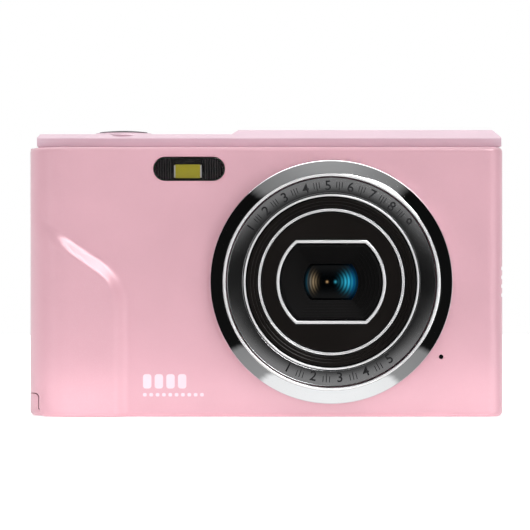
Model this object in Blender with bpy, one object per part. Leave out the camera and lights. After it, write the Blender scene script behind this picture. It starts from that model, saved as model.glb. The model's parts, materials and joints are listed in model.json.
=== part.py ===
"""Compact digital camera with a fixed lens: every piece is its own solid.

Drawn in millimetres and scaled to metres. +X is the right of the front view, the lens looks along -Y,
+Z is up, and the origin is the middle of the footprint.
"""
import math

import bmesh
import bpy
from mathutils import Matrix, Vector

MM = 0.001
GAP = 0.3

# Body
HALF_WIDTH = 48.0
SHELL_TOP = 54.4
FRONT = -6.7
PARTING = 1.75
BACK = 10.9
WALL = 1.5
LEFT_RADIUS = 8.0
RIGHT_RADIUS = 3.5
REAR_LEFT_RADIUS = 6.0
REAR_RIGHT_RADIUS = 4.0
EDGE = 1.0

# Grip
GRIP_RAISE = 1.6
GRIP_EDGE_X = -27.7
GRIP_ARC = 11.0
GRIP_ARC_Z = 22.2
GRIP_SLOPE = math.radians(33.6)
GRIP_BEVEL = 3.0

# Top cover
COVER_FRONT = -2.5
COVER_LEFT = -46.4
COVER_BOTTOM = SHELL_TOP + GAP
COVER_BAND = 56.3
COVER_LOW = 57.2
COVER_HIGH = 58.1
STEP_X = -6.2

# Lens
LENS_X = 13.2
LENS_Z = 27.2
LENS_FRONT = -11.5
RING_SEAT = -8.3
BEZEL_RADIUS = 24.5
BARREL_RADIUS = 18.4
WINDOW_ARC = 11.0
WINDOW_FLAT = 8.4

# Flash
FLASH_X = -15.4
FLASH_Z = 50.0
FLASH_WIDTH = 14.2
FLASH_HEIGHT = 4.6

# Buttons
BUTTON_Y = 4.1
SHUTTER_X = -29.1
SHUTTER_RADIUS = 5.0
SHUTTER_TRAVEL = 0.8
POWER_X = -15.5
POWER_RADIUS = 2.4
KEY_RADIUS = 2.5
KEY_FRONT = 11.5
KEYS = {
    "up_key": (-31.0, 32.0),
    "down_key": (-31.0, 16.0),
    "left_key": (-39.0, 24.0),
    "right_key": (-23.0, 24.0),
    "ok_key": (-31.0, 24.0),
    "menu_key": (-39.0, 36.5),
    "playback_key": (-23.0, 36.5),
    "delete_key": (-39.0, 11.5),
    "mode_key": (-23.0, 11.5),
}
ROCKER_X = -31.0
ROCKER_Z = 45.5
ROCKER_LENGTH = 15.0
ROCKER_HEIGHT = 5.0
ROCKER_PIVOT_Y = 10.0

# Battery door
DOOR_FRONT = -5.0
DOOR_BACK = 6.6
DOOR_TOP = 1.4
DOOR_END = -12.3
LIP_TOP = 4.5
LIP_INNER = -46.0
HINGE_X = -11.0
HINGE_Z = 1.2
KNUCKLE_RADIUS = 1.0

# Screen
SCREEN_LOW = (-14.5, 5.5)
SCREEN_HIGH = (45.5, 49.5)
SCREEN_BORDER = 4.5

# Fasteners and side features
TRIPOD_Y = 6.2
TRIPOD_RADIUS = 3.75
TRIPOD_BORE = 3.05
SCREW_Y = 6.0
SIDE_SCREW_Y = 3.7
SIDE_SCREW_Z = 50.0
BOTTOM_SCREW_X = (-4.0, 36.0)
SLOT_PITCH = 1.8
SLOT_HEIGHT = 0.8

ROUND = 48
SMALL_ROUND = 20


def clear_scene():
    for item in list(bpy.data.objects):
        bpy.data.objects.remove(item, do_unlink=True)


def material(name, colour, roughness, metallic=0.0):
    result = bpy.data.materials.new(name)
    result.use_nodes = True
    shader = result.node_tree.nodes["Principled BSDF"]
    shader.inputs["Base Color"].default_value = (*colour, 1.0)
    shader.inputs["Roughness"].default_value = roughness
    shader.inputs["Metallic"].default_value = metallic
    return result


# Outlines: lists of 2-D points, counter-clockwise

def arc(centre, radius, start, end, steps):
    """Points along an arc, with the angles in degrees."""
    points = []
    for index in range(steps + 1):
        angle = math.radians(start + (end - start) * index / steps)
        points.append((centre[0] + radius * math.cos(angle), centre[1] + radius * math.sin(angle)))
    return points


def circle(centre, radius, steps=ROUND):
    return arc(centre, radius, 0.0, 360.0 * (steps - 1) / steps, steps - 1)


def rounded_rectangle(low, high, radius, steps=4):
    corners = [
        ((low[0] + radius, low[1] + radius), 180.0),
        ((high[0] - radius, low[1] + radius), 270.0),
        ((high[0] - radius, high[1] - radius), 0.0),
        ((low[0] + radius, high[1] - radius), 90.0),
    ]
    points = []
    for centre, start in corners:
        points += arc(centre, radius, start, start + 90.0, steps)
    return points


def double_d(arc_radius, flat, centre=(LENS_X, LENS_Z), steps=12):
    """A circle with a flat at its top and at its bottom."""
    spread = math.degrees(math.asin(flat / arc_radius))
    points = arc(centre, arc_radius, -spread, spread, steps)
    points += arc(centre, arc_radius, 180.0 - spread, 180.0 + spread, steps)
    return points


def front_plan(inset=0.0, back=PARTING):
    """The front shell seen from above: a wide round left end and a tight right corner."""
    edge = HALF_WIDTH - inset
    left = (-HALF_WIDTH + LEFT_RADIUS, FRONT + LEFT_RADIUS)
    right = (HALF_WIDTH - RIGHT_RADIUS, FRONT + RIGHT_RADIUS)
    points = [(-edge, back)]
    points += arc(left, LEFT_RADIUS - inset, 180.0, 270.0, 8)
    points += arc(right, RIGHT_RADIUS - inset, 270.0, 360.0, 5)
    points.append((edge, back))
    return points


def rear_plan(inset=0.0, front=PARTING + GAP):
    """The rear shell seen from above."""
    edge = HALF_WIDTH - inset
    left = (-HALF_WIDTH + REAR_LEFT_RADIUS, BACK - REAR_LEFT_RADIUS)
    right = (HALF_WIDTH - REAR_RIGHT_RADIUS, BACK - REAR_RIGHT_RADIUS)
    points = [(-edge, front), (edge, front)]
    points += arc(right, REAR_RIGHT_RADIUS - inset, 0.0, 90.0, 5)
    points += arc(left, REAR_LEFT_RADIUS - inset, 90.0, 180.0, 6)
    return points


def whole_plan(inset=0.0):
    """The front and the rear plan as one outline."""
    return front_plan(inset)[1:-1] + rear_plan(inset)[2:]


def grip_outline(inset=0.0):
    """The raised grip seen from the front: an upright edge, an arc and a slope up to the left."""
    radius = GRIP_ARC - inset
    centre = (GRIP_EDGE_X - GRIP_ARC, GRIP_ARC_Z)
    top = arc(centre, radius, 0.0, 90.0 - math.degrees(GRIP_SLOPE), 6)
    far_x = -HALF_WIDTH - 3.0
    last_x, last_z = top[-1]
    far_z = last_z + (last_x - far_x) * math.tan(GRIP_SLOPE)
    return [(far_x, -2.0), (GRIP_EDGE_X - inset, -2.0)] + top + [(far_x, far_z)]


# Solids: bmeshes in millimetres

def place(point, axis, along):
    """A 2-D point of a section plane across axis, as a 3-D point."""
    if axis == "X":
        return (along, point[0], point[1])
    if axis == "Y":
        return (point[0], along, point[1])
    return (point[0], point[1], along)


def loft(sections, axis, ring=False):
    """Join outlines of equal length, given as (outline, position along axis).

    A solid has its two ends capped, and a ring has its last outline joined to its first.
    """
    bm = bmesh.new()
    loops = []
    for outline, along in sections:
        loops.append([bm.verts.new(place(point, axis, along)) for point in outline])
    pairs = list(zip(loops, loops[1:]))
    if ring:
        pairs.append((loops[-1], loops[0]))
    count = len(loops[0])
    for lower, upper in pairs:
        for index in range(count):
            after = (index + 1) % count
            bm.faces.new((lower[index], lower[after], upper[after], upper[index]))
    if not ring:
        bm.faces.new(reversed(loops[0]))
        bm.faces.new(loops[-1])
    return bm


def prism(outline, axis, low, high):
    return loft([(outline, low), (outline, high)], axis)


def turned(profile, centre, axis="Y", ring=True, steps=ROUND):
    """A round piece whose profile is a list of (radius, position along axis)."""
    sections = [(circle(centre, radius, steps), along) for radius, along in profile]
    return loft(sections, axis, ring)


def box(low, high):
    return prism([(low[0], low[1]), (high[0], low[1]), (high[0], high[1]), (low[0], high[1])], "Z",
                 low[2], high[2])


def slab(low, high, radius, edge, axis, bottom, top):
    """A rounded rectangular plate across axis with softened rims."""
    def outline(inset):
        return rounded_rectangle((low[0] + inset, low[1] + inset), (high[0] - inset, high[1] - inset),
                                 radius - inset)
    return loft([(outline(edge), bottom), (outline(0.0), bottom + edge),
                 (outline(0.0), top - edge), (outline(edge), top)], axis)


def shape(name, bm, surface=None, origin=(0.0, 0.0, 0.0)):
    """Make a metre-scaled object whose origin lies on its joint's axis."""
    bmesh.ops.recalc_face_normals(bm, faces=bm.faces)
    to_metres = Matrix.Scale(MM, 4) @ Matrix.Translation(-Vector(origin))
    bmesh.ops.transform(bm, matrix=to_metres, verts=bm.verts)
    mesh = bpy.data.meshes.new(name)
    bm.to_mesh(mesh)
    bm.free()
    mesh.shade_smooth()
    mesh.set_sharp_from_angle(angle=math.radians(32.0))
    result = bpy.data.objects.new(name, mesh)
    result.location = Vector(origin) * MM
    bpy.context.scene.collection.objects.link(result)
    if surface is not None:
        mesh.materials.append(surface)
    return result


def boolean(target, name, bm, operation="DIFFERENCE"):
    """Cut, join or intersect target with a hidden guide."""
    guide = shape(name, bm)
    guide.hide_render = True
    guide.display_type = "WIRE"
    modifier = target.modifiers.new(name, "BOOLEAN")
    modifier.operation = operation
    modifier.solver = "EXACT"
    modifier.object = guide


# Sub-parts

def make_front_shell(pink):
    plan = [(front_plan(EDGE), 0.0), (front_plan(EDGE * 0.3), EDGE * 0.3), (front_plan(), EDGE),
            (front_plan(), SHELL_TOP - EDGE), (front_plan(EDGE * 0.3), SHELL_TOP - EDGE * 0.3),
            (front_plan(EDGE), SHELL_TOP)]
    shell = shape("front_shell", loft(plan, "Z"), pink)

    grip = shape("grip_guide", loft([(grip_outline(), 0.9), (grip_outline(), FRONT + 0.05),
                                     (grip_outline(GRIP_BEVEL * 0.35), FRONT - GRIP_RAISE * 0.55),
                                     (grip_outline(GRIP_BEVEL * 0.7), FRONT - GRIP_RAISE * 0.9),
                                     (grip_outline(GRIP_BEVEL), FRONT - GRIP_RAISE)], "Y"))
    grip.hide_render = True
    grip.display_type = "WIRE"
    depth = LEFT_RADIUS + GRIP_RAISE
    sections = []
    for inset, height in ((EDGE, 0.0), (EDGE * 0.3, EDGE * 0.3), (0.02, EDGE), (0.02, SHELL_TOP)):
        sweep = [(-39.0 + (9.0 - inset) * math.cos(math.radians(angle)),
                  FRONT + LEFT_RADIUS + (depth - inset) * math.sin(math.radians(angle)))
                 for angle in range(180, 271, 10)]
        sections.append((sweep + [(-20.0, sweep[-1][1]), (-20.0, 1.3)], height))
    boolean(grip, "grip_plan_guide", loft(sections, "Z"), "INTERSECT")
    joined = shell.modifiers.new("grip", "BOOLEAN")
    joined.operation = "UNION"
    joined.solver = "EXACT"
    joined.object = grip

    boolean(shell, "front_hollow_guide", prism(front_plan(WALL, PARTING + 2.0), "Z", WALL, SHELL_TOP - WALL))
    add_screw_tabs(shell)
    centre = (LENS_X, LENS_Z)
    boolean(shell, "lens_hole_guide", prism(circle(centre, BARREL_RADIUS + GAP), "Y", FRONT - 1.0, -4.0))
    flash = stadium(FLASH_WIDTH + 2.0 * GAP, FLASH_HEIGHT + 2.0 * GAP)
    boolean(shell, "flash_hole_guide", prism(flash, "Y", FRONT - 1.0, -4.0))
    boolean(shell, "microphone_hole_guide", prism(circle((35.4, 12.1), 0.5, 12), "Y", FRONT - 1.0, -4.0))
    for index in range(4):
        middle = LENS_Z + (index - 1.5) * SLOT_PITCH
        slot = rounded_rectangle((-2.8, middle - SLOT_HEIGHT / 2), (0.8, middle + SLOT_HEIGHT / 2), 0.35, 2)
        boolean(shell, f"speaker_slot_guide_{index}", prism(slot, "X", 46.3, 49.0))
    cut_door_opening(shell, "front")
    boolean(shell, "front_pin_guide", prism(circle((HINGE_X, HINGE_Z), 0.8, 12), "Y", -6.1, -4.0))


def stadium(width, height, inset=0.0, steps=8):
    radius = height / 2 - inset
    half = width / 2 - height / 2
    points = arc((FLASH_X + half, FLASH_Z), radius, -90.0, 90.0, steps)
    points += arc((FLASH_X - half, FLASH_Z), radius, 90.0, 270.0, steps)
    return points


def add_screw_tabs(shell):
    """Tongues that reach into the rear shell, with a bore for each case screw."""
    for index, centre_x in enumerate(BOTTOM_SCREW_X):
        low, high = centre_x - 2.0, centre_x + 2.0
        outline = [(-5.6, WALL - 0.5), (PARTING - 0.4, WALL - 0.5), (PARTING - 0.4, WALL + GAP),
                   (8.0, WALL + GAP), (8.0, 4.6), (-5.6, 4.6)]
        boolean(shell, f"bottom_tab_guide_{index}", prism(outline, "X", low, high), "UNION")
        bore = prism(circle((centre_x, SCREW_Y), 1.2, 12), "Z", WALL, 5.0)
        boolean(shell, f"bottom_bore_guide_{index}", bore)
    for side in (-1.0, 1.0):
        outline = [(side * 42.0, -3.0), (side * 47.0, -3.0), (side * 47.0, PARTING - 0.4),
                   (side * 46.2, PARTING - 0.4), (side * 46.2, 5.6), (side * 42.0, 5.6)]
        tab = prism(outline, "Z", SIDE_SCREW_Z - 2.0, SIDE_SCREW_Z + 2.0)
        name = "left" if side < 0 else "right"
        boolean(shell, f"{name}_tab_guide", tab, "UNION")
        bore = prism(circle((SIDE_SCREW_Y, SIDE_SCREW_Z), 1.2, 12), "X", min(side * 41.0, side * 46.5),
                     max(side * 41.0, side * 46.5))
        boolean(shell, f"{name}_bore_guide", bore)


def cut_door_opening(shell, name):
    """The opening for the door and its corner lip, with room for the hinge knuckle."""
    front, back = DOOR_FRONT - GAP, DOOR_BACK + GAP
    outline = [(-50.0, -1.0), (HINGE_X + KNUCKLE_RADIUS + GAP, -1.0), (HINGE_X + KNUCKLE_RADIUS + GAP, 2.6),
               (LIP_INNER + GAP, 2.6), (LIP_INNER + GAP, LIP_TOP + GAP), (-50.0, LIP_TOP + GAP)]
    boolean(shell, f"{name}_door_guide", prism(outline, "Y", front, back))


def make_rear_shell(pink):
    plan = [(rear_plan(EDGE), 0.0), (rear_plan(EDGE * 0.3), EDGE * 0.3), (rear_plan(), EDGE),
            (rear_plan(), SHELL_TOP)]
    shell = shape("rear_shell", loft(plan, "Z"), pink)
    boolean(shell, "rear_hollow_guide", prism(rear_plan(WALL, -1.0), "Z", WALL, SHELL_TOP + 2.0))
    low, high = SCREEN_LOW, SCREEN_HIGH
    recess = rounded_rectangle((low[0] - GAP, low[1] - GAP), (high[0] + GAP, high[1] + GAP), 1.3)
    boolean(shell, "screen_recess_guide", prism(recess, "Y", 9.95, BACK + 1.0))
    border = SCREEN_BORDER
    view = rounded_rectangle((low[0] + border, low[1] + border), (high[0] - border, high[1] - border), 0.8)
    boolean(shell, "screen_view_guide", prism(view, "Y", 8.0, BACK + 2.0))
    for name, centre in KEYS.items():
        hole = prism(circle(centre, KEY_RADIUS + GAP, SMALL_ROUND), "Y", 8.0, BACK + 1.0)
        boolean(shell, f"{name}_hole_guide", hole)
    rocker = rounded_rectangle((ROCKER_X - ROCKER_LENGTH / 2 - 0.5, ROCKER_Z - ROCKER_HEIGHT / 2 - 0.4),
                               (ROCKER_X + ROCKER_LENGTH / 2 + 0.5, ROCKER_Z + ROCKER_HEIGHT / 2 + 0.4), 2.8)
    boolean(shell, "rocker_hole_guide", prism(rocker, "Y", 8.0, BACK + 1.0))
    tripod = prism(circle((LENS_X, TRIPOD_Y), TRIPOD_RADIUS + GAP, 32), "Z", -1.0, 6.4)
    boolean(shell, "tripod_hole_guide", tripod)
    for index, centre_x in enumerate(BOTTOM_SCREW_X):
        head = prism(circle((centre_x, SCREW_Y), 1.8, 16), "Z", -1.0, 1.0)
        boolean(shell, f"bottom_head_guide_{index}", head)
        hole = prism(circle((centre_x, SCREW_Y), 1.2, 12), "Z", 0.5, 1.9)
        boolean(shell, f"bottom_hole_guide_{index}", hole)
    for side, name in ((-1.0, "left"), (1.0, "right")):
        for radius, inner, outer, kind in ((1.8, 47.0, 49.0, "head"), (1.2, 46.0, 47.5, "hole")):
            low_x, high_x = sorted((side * inner, side * outer))
            hole = prism(circle((SIDE_SCREW_Y, SIDE_SCREW_Z), radius, 16), "X", low_x, high_x)
            boolean(shell, f"{name}_{kind}_guide", hole)
    usb = rounded_rectangle((2.6, 10.0), (5.9, 18.4), 1.0)
    boolean(shell, "usb_hole_guide", prism(usb, "X", 45.0, 49.0))
    strap = rounded_rectangle((3.0, 35.0), (6.4, 42.0), 1.0)
    boolean(shell, "strap_recess_guide", prism(strap, "X", 45.0, 49.0))
    for low_z, high_z, name in ((34.0, 35.5, "low"), (41.5, 43.0, "high")):
        socket = prism(circle((47.2, 4.7), 0.9, 12), "Z", low_z, high_z)
        boolean(shell, f"strap_socket_{name}_guide", socket)
    cut_door_opening(shell, "rear")
    boolean(shell, "rear_pin_guide", prism(circle((HINGE_X, HINGE_Z), 0.8, 12), "Y", 6.0, 8.0))


def make_top_cover(pink):
    front_view = [(COVER_LEFT, COVER_BOTTOM), (HALF_WIDTH, COVER_BOTTOM), (HALF_WIDTH, COVER_BAND + 0.1),
                  (HALF_WIDTH - 1.8, COVER_HIGH), (STEP_X + 0.6, COVER_HIGH), (STEP_X - 0.6, COVER_LOW),
                  (COVER_LEFT + 0.6, COVER_LOW), (COVER_LEFT, COVER_BAND)]
    cover = shape("top_cover", prism(front_view, "Y", -8.0, 12.0), pink)
    boolean(cover, "cover_plan_guide", prism(whole_plan(0.1), "Z", SHELL_TOP - 1.0, 60.0), "INTERSECT")
    rise = 2.4
    side_view = [(COVER_FRONT, 53.0), (BACK - 0.1, 53.0), (BACK - 0.1, COVER_BAND),
                 (BACK - rise, COVER_HIGH + 0.05), (COVER_FRONT + rise, COVER_HIGH + 0.05),
                 (COVER_FRONT, COVER_BAND)]
    boolean(cover, "cover_side_guide", prism(side_view, "X", -50.0, 50.0), "INTERSECT")
    boolean(cover, "cover_hollow_guide", box((-44.5, COVER_FRONT + WALL, 53.0), (46.3, 9.4, 55.7)))
    for name, centre_x, radius in (("shutter", SHUTTER_X, SHUTTER_RADIUS), ("power", POWER_X, POWER_RADIUS)):
        hole = prism(circle((centre_x, BUTTON_Y), radius + GAP, 32), "Z", 53.0, 60.0)
        boolean(cover, f"{name}_hole_guide", hole)
    seat = prism(circle((SHUTTER_X, BUTTON_Y), SHUTTER_RADIUS + 1.4, 32), "Z", 56.6, 60.0)
    boolean(cover, "collar_seat_guide", seat)


def make_lens(looks):
    """The fixed lens, from the bezel in to the image sensor."""
    centre = (LENS_X, LENS_Z)
    seat = RING_SEAT
    bezel = [(BEZEL_RADIUS, -7.0), (BEZEL_RADIUS, -8.9), (24.3, -9.2), (23.4, -10.0), (22.5, -10.75),
             (21.8, -11.3), (21.7, LENS_FRONT), (21.35, LENS_FRONT), (21.2, -11.3), (21.2, -7.0)]
    shape("lens_bezel", turned(bezel, centre), looks["chrome"])
    marks = [(20.9, seat), (20.9, -10.65), (17.8, -10.95), (17.8, seat)]
    shape("lens_mark_ring", turned(marks, centre), looks["ring"])
    trim = [(17.6, seat), (17.6, -11.0), (17.1, -11.0), (17.1, seat)]
    shape("lens_trim_ring", turned(trim, centre), looks["chrome"])
    stepped = [(16.85, seat), (16.85, -10.7), (16.2, -10.7), (16.2, -10.35), (15.55, -10.35),
               (15.55, -10.0), (14.95, -10.0), (14.95, seat)]
    shape("lens_step_ring", turned(stepped, centre), looks["black"])
    inner = [(14.7, seat), (14.7, -10.1), (14.2, -10.1), (14.2, seat)]
    shape("lens_inner_ring", turned(inner, centre), looks["chrome"])

    plate = shape("lens_face_plate", prism(circle(centre, 13.95), "Y", -9.7, seat), looks["black"])
    opening = prism(double_d(WINDOW_ARC + GAP, WINDOW_FLAT + GAP), "Y", -11.0, -7.0)
    boolean(plate, "face_opening_guide", opening)
    thick = 0.7
    trim_sections = [(double_d(WINDOW_ARC, WINDOW_FLAT), seat), (double_d(WINDOW_ARC, WINDOW_FLAT), -9.9),
                     (double_d(WINDOW_ARC - thick, WINDOW_FLAT - thick), -9.9),
                     (double_d(WINDOW_ARC - thick, WINDOW_FLAT - thick), seat)]
    shape("lens_window_trim", loft(trim_sections, "Y", ring=True), looks["chrome"])

    baffle = [(double_d(10.1, 7.5), -5.5), (double_d(10.1, 7.5), -9.5)]
    for step in range(5):
        size = step / 4.0
        arc_radius = 9.5 - 4.0 * size
        flat = 6.9 - 3.25 * size
        depth = -9.5 + 3.2 * size
        baffle.append((double_d(arc_radius, flat), depth))
        baffle.append((double_d(arc_radius, flat), depth + 0.55))
    baffle.append((double_d(5.5, 3.65), -5.5))
    shape("lens_baffle", loft(baffle, "Y", ring=True), looks["black"])

    barrel = [(20.9, -7.0), (20.9, -8.0), (10.6, -8.0), (10.6, -2.6), (BARREL_RADIUS, -2.6),
              (BARREL_RADIUS, -7.0)]
    shape("lens_barrel", turned(barrel, centre), looks["black"])
    dome = [(0.6, -5.15), (3.0, -5.1), (5.5, -4.8), (7.4, -4.3), (8.0, -3.9), (8.0, -3.0), (0.6, -3.0)]
    shape("front_element", turned(dome, centre, ring=False, steps=32), looks["glass"])
    holder = [(10.3, -4.7), (8.3, -4.7), (8.3, -2.6), (3.9, -2.6), (3.9, 1.0), (5.5, 1.0), (5.5, -1.3),
              (16.0, -1.3), (16.0, -2.3), (10.3, -2.3)]
    shape("lens_holder", turned(holder, centre), looks["black"])
    rear = [(0.5, -1.4), (2.4, -1.3), (3.6, -0.9), (3.6, 0.3), (0.5, 0.3)]
    shape("rear_element", turned(rear, centre, ring=False, steps=24), looks["glass"])
    shape("image_sensor", box((LENS_X - 3.5, 1.6, LENS_Z - 3.0), (LENS_X + 3.5, 2.4, LENS_Z + 3.0)),
          looks["silicon"])
    shape("sensor_board", box((LENS_X - 9.0, 2.7, LENS_Z - 9.0), (LENS_X + 9.0, 3.5, LENS_Z + 9.0)),
          looks["board"])


def make_flash(looks):
    window = [(stadium(FLASH_WIDTH, FLASH_HEIGHT), -5.9), (stadium(FLASH_WIDTH, FLASH_HEIGHT), -6.55),
              (stadium(FLASH_WIDTH, FLASH_HEIGHT, 0.15), -6.7)]
    shape("flash_window", loft(window, "Y"), looks["clear"])
    deep = [(stadium(14.0, 4.4), -2.6), (stadium(14.0, 4.4), -4.9), (stadium(13.2, 3.6), -4.9),
            (stadium(12.2, 2.6), -3.2), (stadium(11.6, 2.0), -2.6)]
    shape("flash_reflector", loft(deep, "Y", ring=True), looks["chrome"])
    shape("flash_led", box((-18.2, -5.55, 48.15), (-13.2, -5.2, 50.9)), looks["phosphor"])
    shape("flash_board", box((-23.0, -2.3, 47.2), (-8.0, -1.5, 52.4)), looks["board"])


def make_top_buttons(looks):
    collar = [(6.1, 56.9), (6.1, 57.35), (5.8, 57.6), (5.45, 57.35), (5.45, 56.9)]
    shape("shutter_collar", turned(collar, (SHUTTER_X, BUTTON_Y), "Z"), looks["pink"])
    dome = [(1.5, 52.1), (1.5, 55.6), (4.9, 55.75), (SHUTTER_RADIUS, 56.0), (SHUTTER_RADIUS, 57.4),
            (4.6, 57.85), (3.4, 58.05), (1.0, 58.1)]
    origin = (SHUTTER_X, BUTTON_Y, 57.0)
    button = shape("shutter_button", turned(dome, (SHUTTER_X, BUTTON_Y), "Z", ring=False, steps=40),
                   looks["pink"], origin)
    boolean(button, "shutter_lug_guide",
            box((SHUTTER_X - 6.2, BUTTON_Y - 1.6, 54.95), (SHUTTER_X + 6.2, BUTTON_Y + 1.6, 55.4)), "UNION")
    dome = [(1.2, 51.9), (1.2, 55.6), (2.3, 55.65), (POWER_RADIUS, 55.8), (POWER_RADIUS, 57.2),
            (2.1, 57.4), (0.8, 57.45)]
    origin = (POWER_X, BUTTON_Y, 57.0)
    button = shape("power_button", turned(dome, (POWER_X, BUTTON_Y), "Z", ring=False, steps=24),
                   looks["pink"], origin)
    boolean(button, "power_lug_guide",
            box((POWER_X - 3.3, BUTTON_Y - 1.3, 54.95), (POWER_X + 3.3, BUTTON_Y + 1.3, 55.4)), "UNION")
    shape("top_board", box((-34.0, 2.1, 47.9), (-10.0, 5.4, 48.7)), looks["board"])
    for name, centre_x in (("shutter_switch", SHUTTER_X), ("power_switch", POWER_X)):
        shape(name, box((centre_x - 2.4, 2.4, 49.0), (centre_x + 2.4, 5.4, 51.0)), looks["steel"])


def make_rear_controls(looks):
    for name, centre in KEYS.items():
        profile = [(3.2, 8.5), (3.2, 9.0), (KEY_RADIUS, 9.05), (KEY_RADIUS, 11.15), (2.2, 11.4),
                   (0.8, KEY_FRONT)]
        shape(name, turned(profile, centre, ring=False, steps=SMALL_ROUND), looks["pink"],
              (centre[0], 10.0, centre[1]))
    half = (ROCKER_LENGTH / 2, ROCKER_HEIGHT / 2)
    rocker = slab((ROCKER_X - half[0], ROCKER_Z - half[1]), (ROCKER_X + half[0], ROCKER_Z + half[1]),
                  2.45, 0.4, "Y", 9.0, 11.4)
    shape("zoom_rocker", rocker, looks["pink"], (ROCKER_X, ROCKER_PIVOT_Y, ROCKER_Z))
    shape("key_sheet", box((-43.0, 7.2, 6.0), (-17.0, 7.6, 49.0)), looks["sheet"])
    window = slab(SCREEN_LOW, SCREEN_HIGH, 1.0, 0.15, "Y", 10.25, 10.8)
    shape("screen_window", window, looks["black_gloss"])
    low = (SCREEN_LOW[0] + 1.0, 7.2, SCREEN_LOW[1] + 1.0)
    high = (SCREEN_HIGH[0] - 1.0, 9.1, SCREEN_HIGH[1] - 1.0)
    shape("screen_panel", box(low, high), looks["black_gloss"])


def make_electronics(looks):
    shape("main_board", box((-44.0, 5.9, 8.2), (44.0, 6.9, 49.6)), looks["board"])
    shape("processor", box((4.0, 4.4, 36.0), (16.0, 5.6, 47.0)), looks["chip"])
    shape("microphone", turned([(2.0, -4.8), (2.0, -3.2)], (35.4, 12.1), ring=False, steps=16), looks["steel"])
    speaker = [(4.9, 42.4), (4.9, 45.2), (4.5, 46.1)]
    sections = [(circle((0.2, LENS_Z), radius, 24), along) for radius, along in speaker]
    shape("speaker", loft(sections, "X"), looks["steel"])
    usb = shape("usb_connector", slab((3.0, 10.4), (5.6, 18.0), 0.7, 0.1, "X", 41.5, 47.4), looks["steel"])
    boolean(usb, "usb_cavity_guide", prism(rounded_rectangle((3.35, 10.75), (5.25, 17.65), 0.5), "X", 42.2, 49.0))


def make_power_bay(looks):
    battery = slab((-42.8, -4.2), (-11.6, 1.3), 1.2, 0.4, "Z", 3.2, 46.0)
    shape("battery", battery, looks["label"])
    tray = [(-44.6, -1.5), (-43.1, -1.5), (-43.1, 1.6), (-11.3, 1.6), (-11.3, -4.6), (-10.1, -4.6),
            (-10.1, 2.4), (-44.6, 2.4)]
    shape("battery_tray", prism(tray, "Z", 4.9, 46.6), looks["black"])
    shape("contact_block", box((-40.0, -4.2, 46.3), (-26.0, 0.9, 47.5)), looks["black"])
    slot = shape("card_slot", box((-40.2, 2.75, 3.6), (-14.8, 5.6, 34.0)), looks["steel"])
    boolean(slot, "card_cavity_guide", box((-39.3, 3.15, 2.0), (-15.7, 5.35, 33.0)))
    shape("memory_card", box((-39.0, 3.45, 2.9), (-16.0, 5.05, 32.5)), looks["black_gloss"])

    low, high = DOOR_FRONT, DOOR_BACK
    outline = [(-50.0, 0.1), (DOOR_END, 0.1), (DOOR_END, DOOR_TOP), (LIP_INNER, DOOR_TOP),
               (LIP_INNER, LIP_TOP), (-50.0, LIP_TOP)]
    origin = (HINGE_X, 0.0, HINGE_Z)
    door = shape("battery_door", prism(outline, "Y", low, high), looks["pink"], origin)
    plan = [(whole_plan(0.7), 0.0), (whole_plan(0.2), 0.6), (whole_plan(-0.05), 1.2), (whole_plan(-0.05), 6.0)]
    boolean(door, "door_plan_guide", loft(plan, "Z"), "INTERSECT")
    knuckle = arc((HINGE_X, HINGE_Z), KNUCKLE_RADIUS, -180.0, 90.0, 15)
    profile = knuckle + [(-34.0, HINGE_Z + KNUCKLE_RADIUS), (-34.0, 1.7), (HINGE_X - 0.9, 1.7)]
    carrier = shape("door_carrier", prism(profile, "Y", -4.2, 5.8), looks["steel"], origin)
    boolean(carrier, "carrier_bore_guide", prism(circle((HINGE_X, HINGE_Z), 0.7, 16), "Y", -5.0, 7.0))
    pin = turned([(0.5, -5.9), (0.5, 7.8)], (HINGE_X, HINGE_Z), ring=False, steps=12)
    shape("door_hinge_pin", pin, looks["steel"])


def make_fasteners(looks):
    centre = (LENS_X, TRIPOD_Y)
    nut = [(TRIPOD_RADIUS, 0.15), (TRIPOD_RADIUS, 6.0), (0.8, 6.0)]
    body = shape("tripod_nut", turned(nut, centre, "Z", ring=False, steps=32), looks["steel"])
    bore = turned([(TRIPOD_BORE, -1.0), (TRIPOD_BORE, 5.1)], centre, "Z", ring=False, steps=24)
    boolean(body, "tripod_bore_guide", bore)
    pin = turned([(0.6, 34.3), (0.6, 42.7)], (47.2, 4.7), "Z", ring=False, steps=16)
    shape("strap_bar", pin, looks["steel"])
    profile = [(1.5, 0.3), (1.5, 0.75), (0.9, 1.2), (0.9, 4.3)]
    for name, centre_x in zip(("bottom_screw_left", "bottom_screw_right"), BOTTOM_SCREW_X):
        screw = turned(profile, (centre_x, SCREW_Y), "Z", ring=False, steps=16)
        shape(name, screw, looks["steel"])
    for name, side in (("side_screw_left", -1.0), ("side_screw_right", 1.0)):
        sections = [(circle((SIDE_SCREW_Y, SIDE_SCREW_Z), radius, 16), side * (HALF_WIDTH - depth))
                    for radius, depth in profile]
        shape(name, loft(sections, "X"), looks["steel"])


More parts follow.
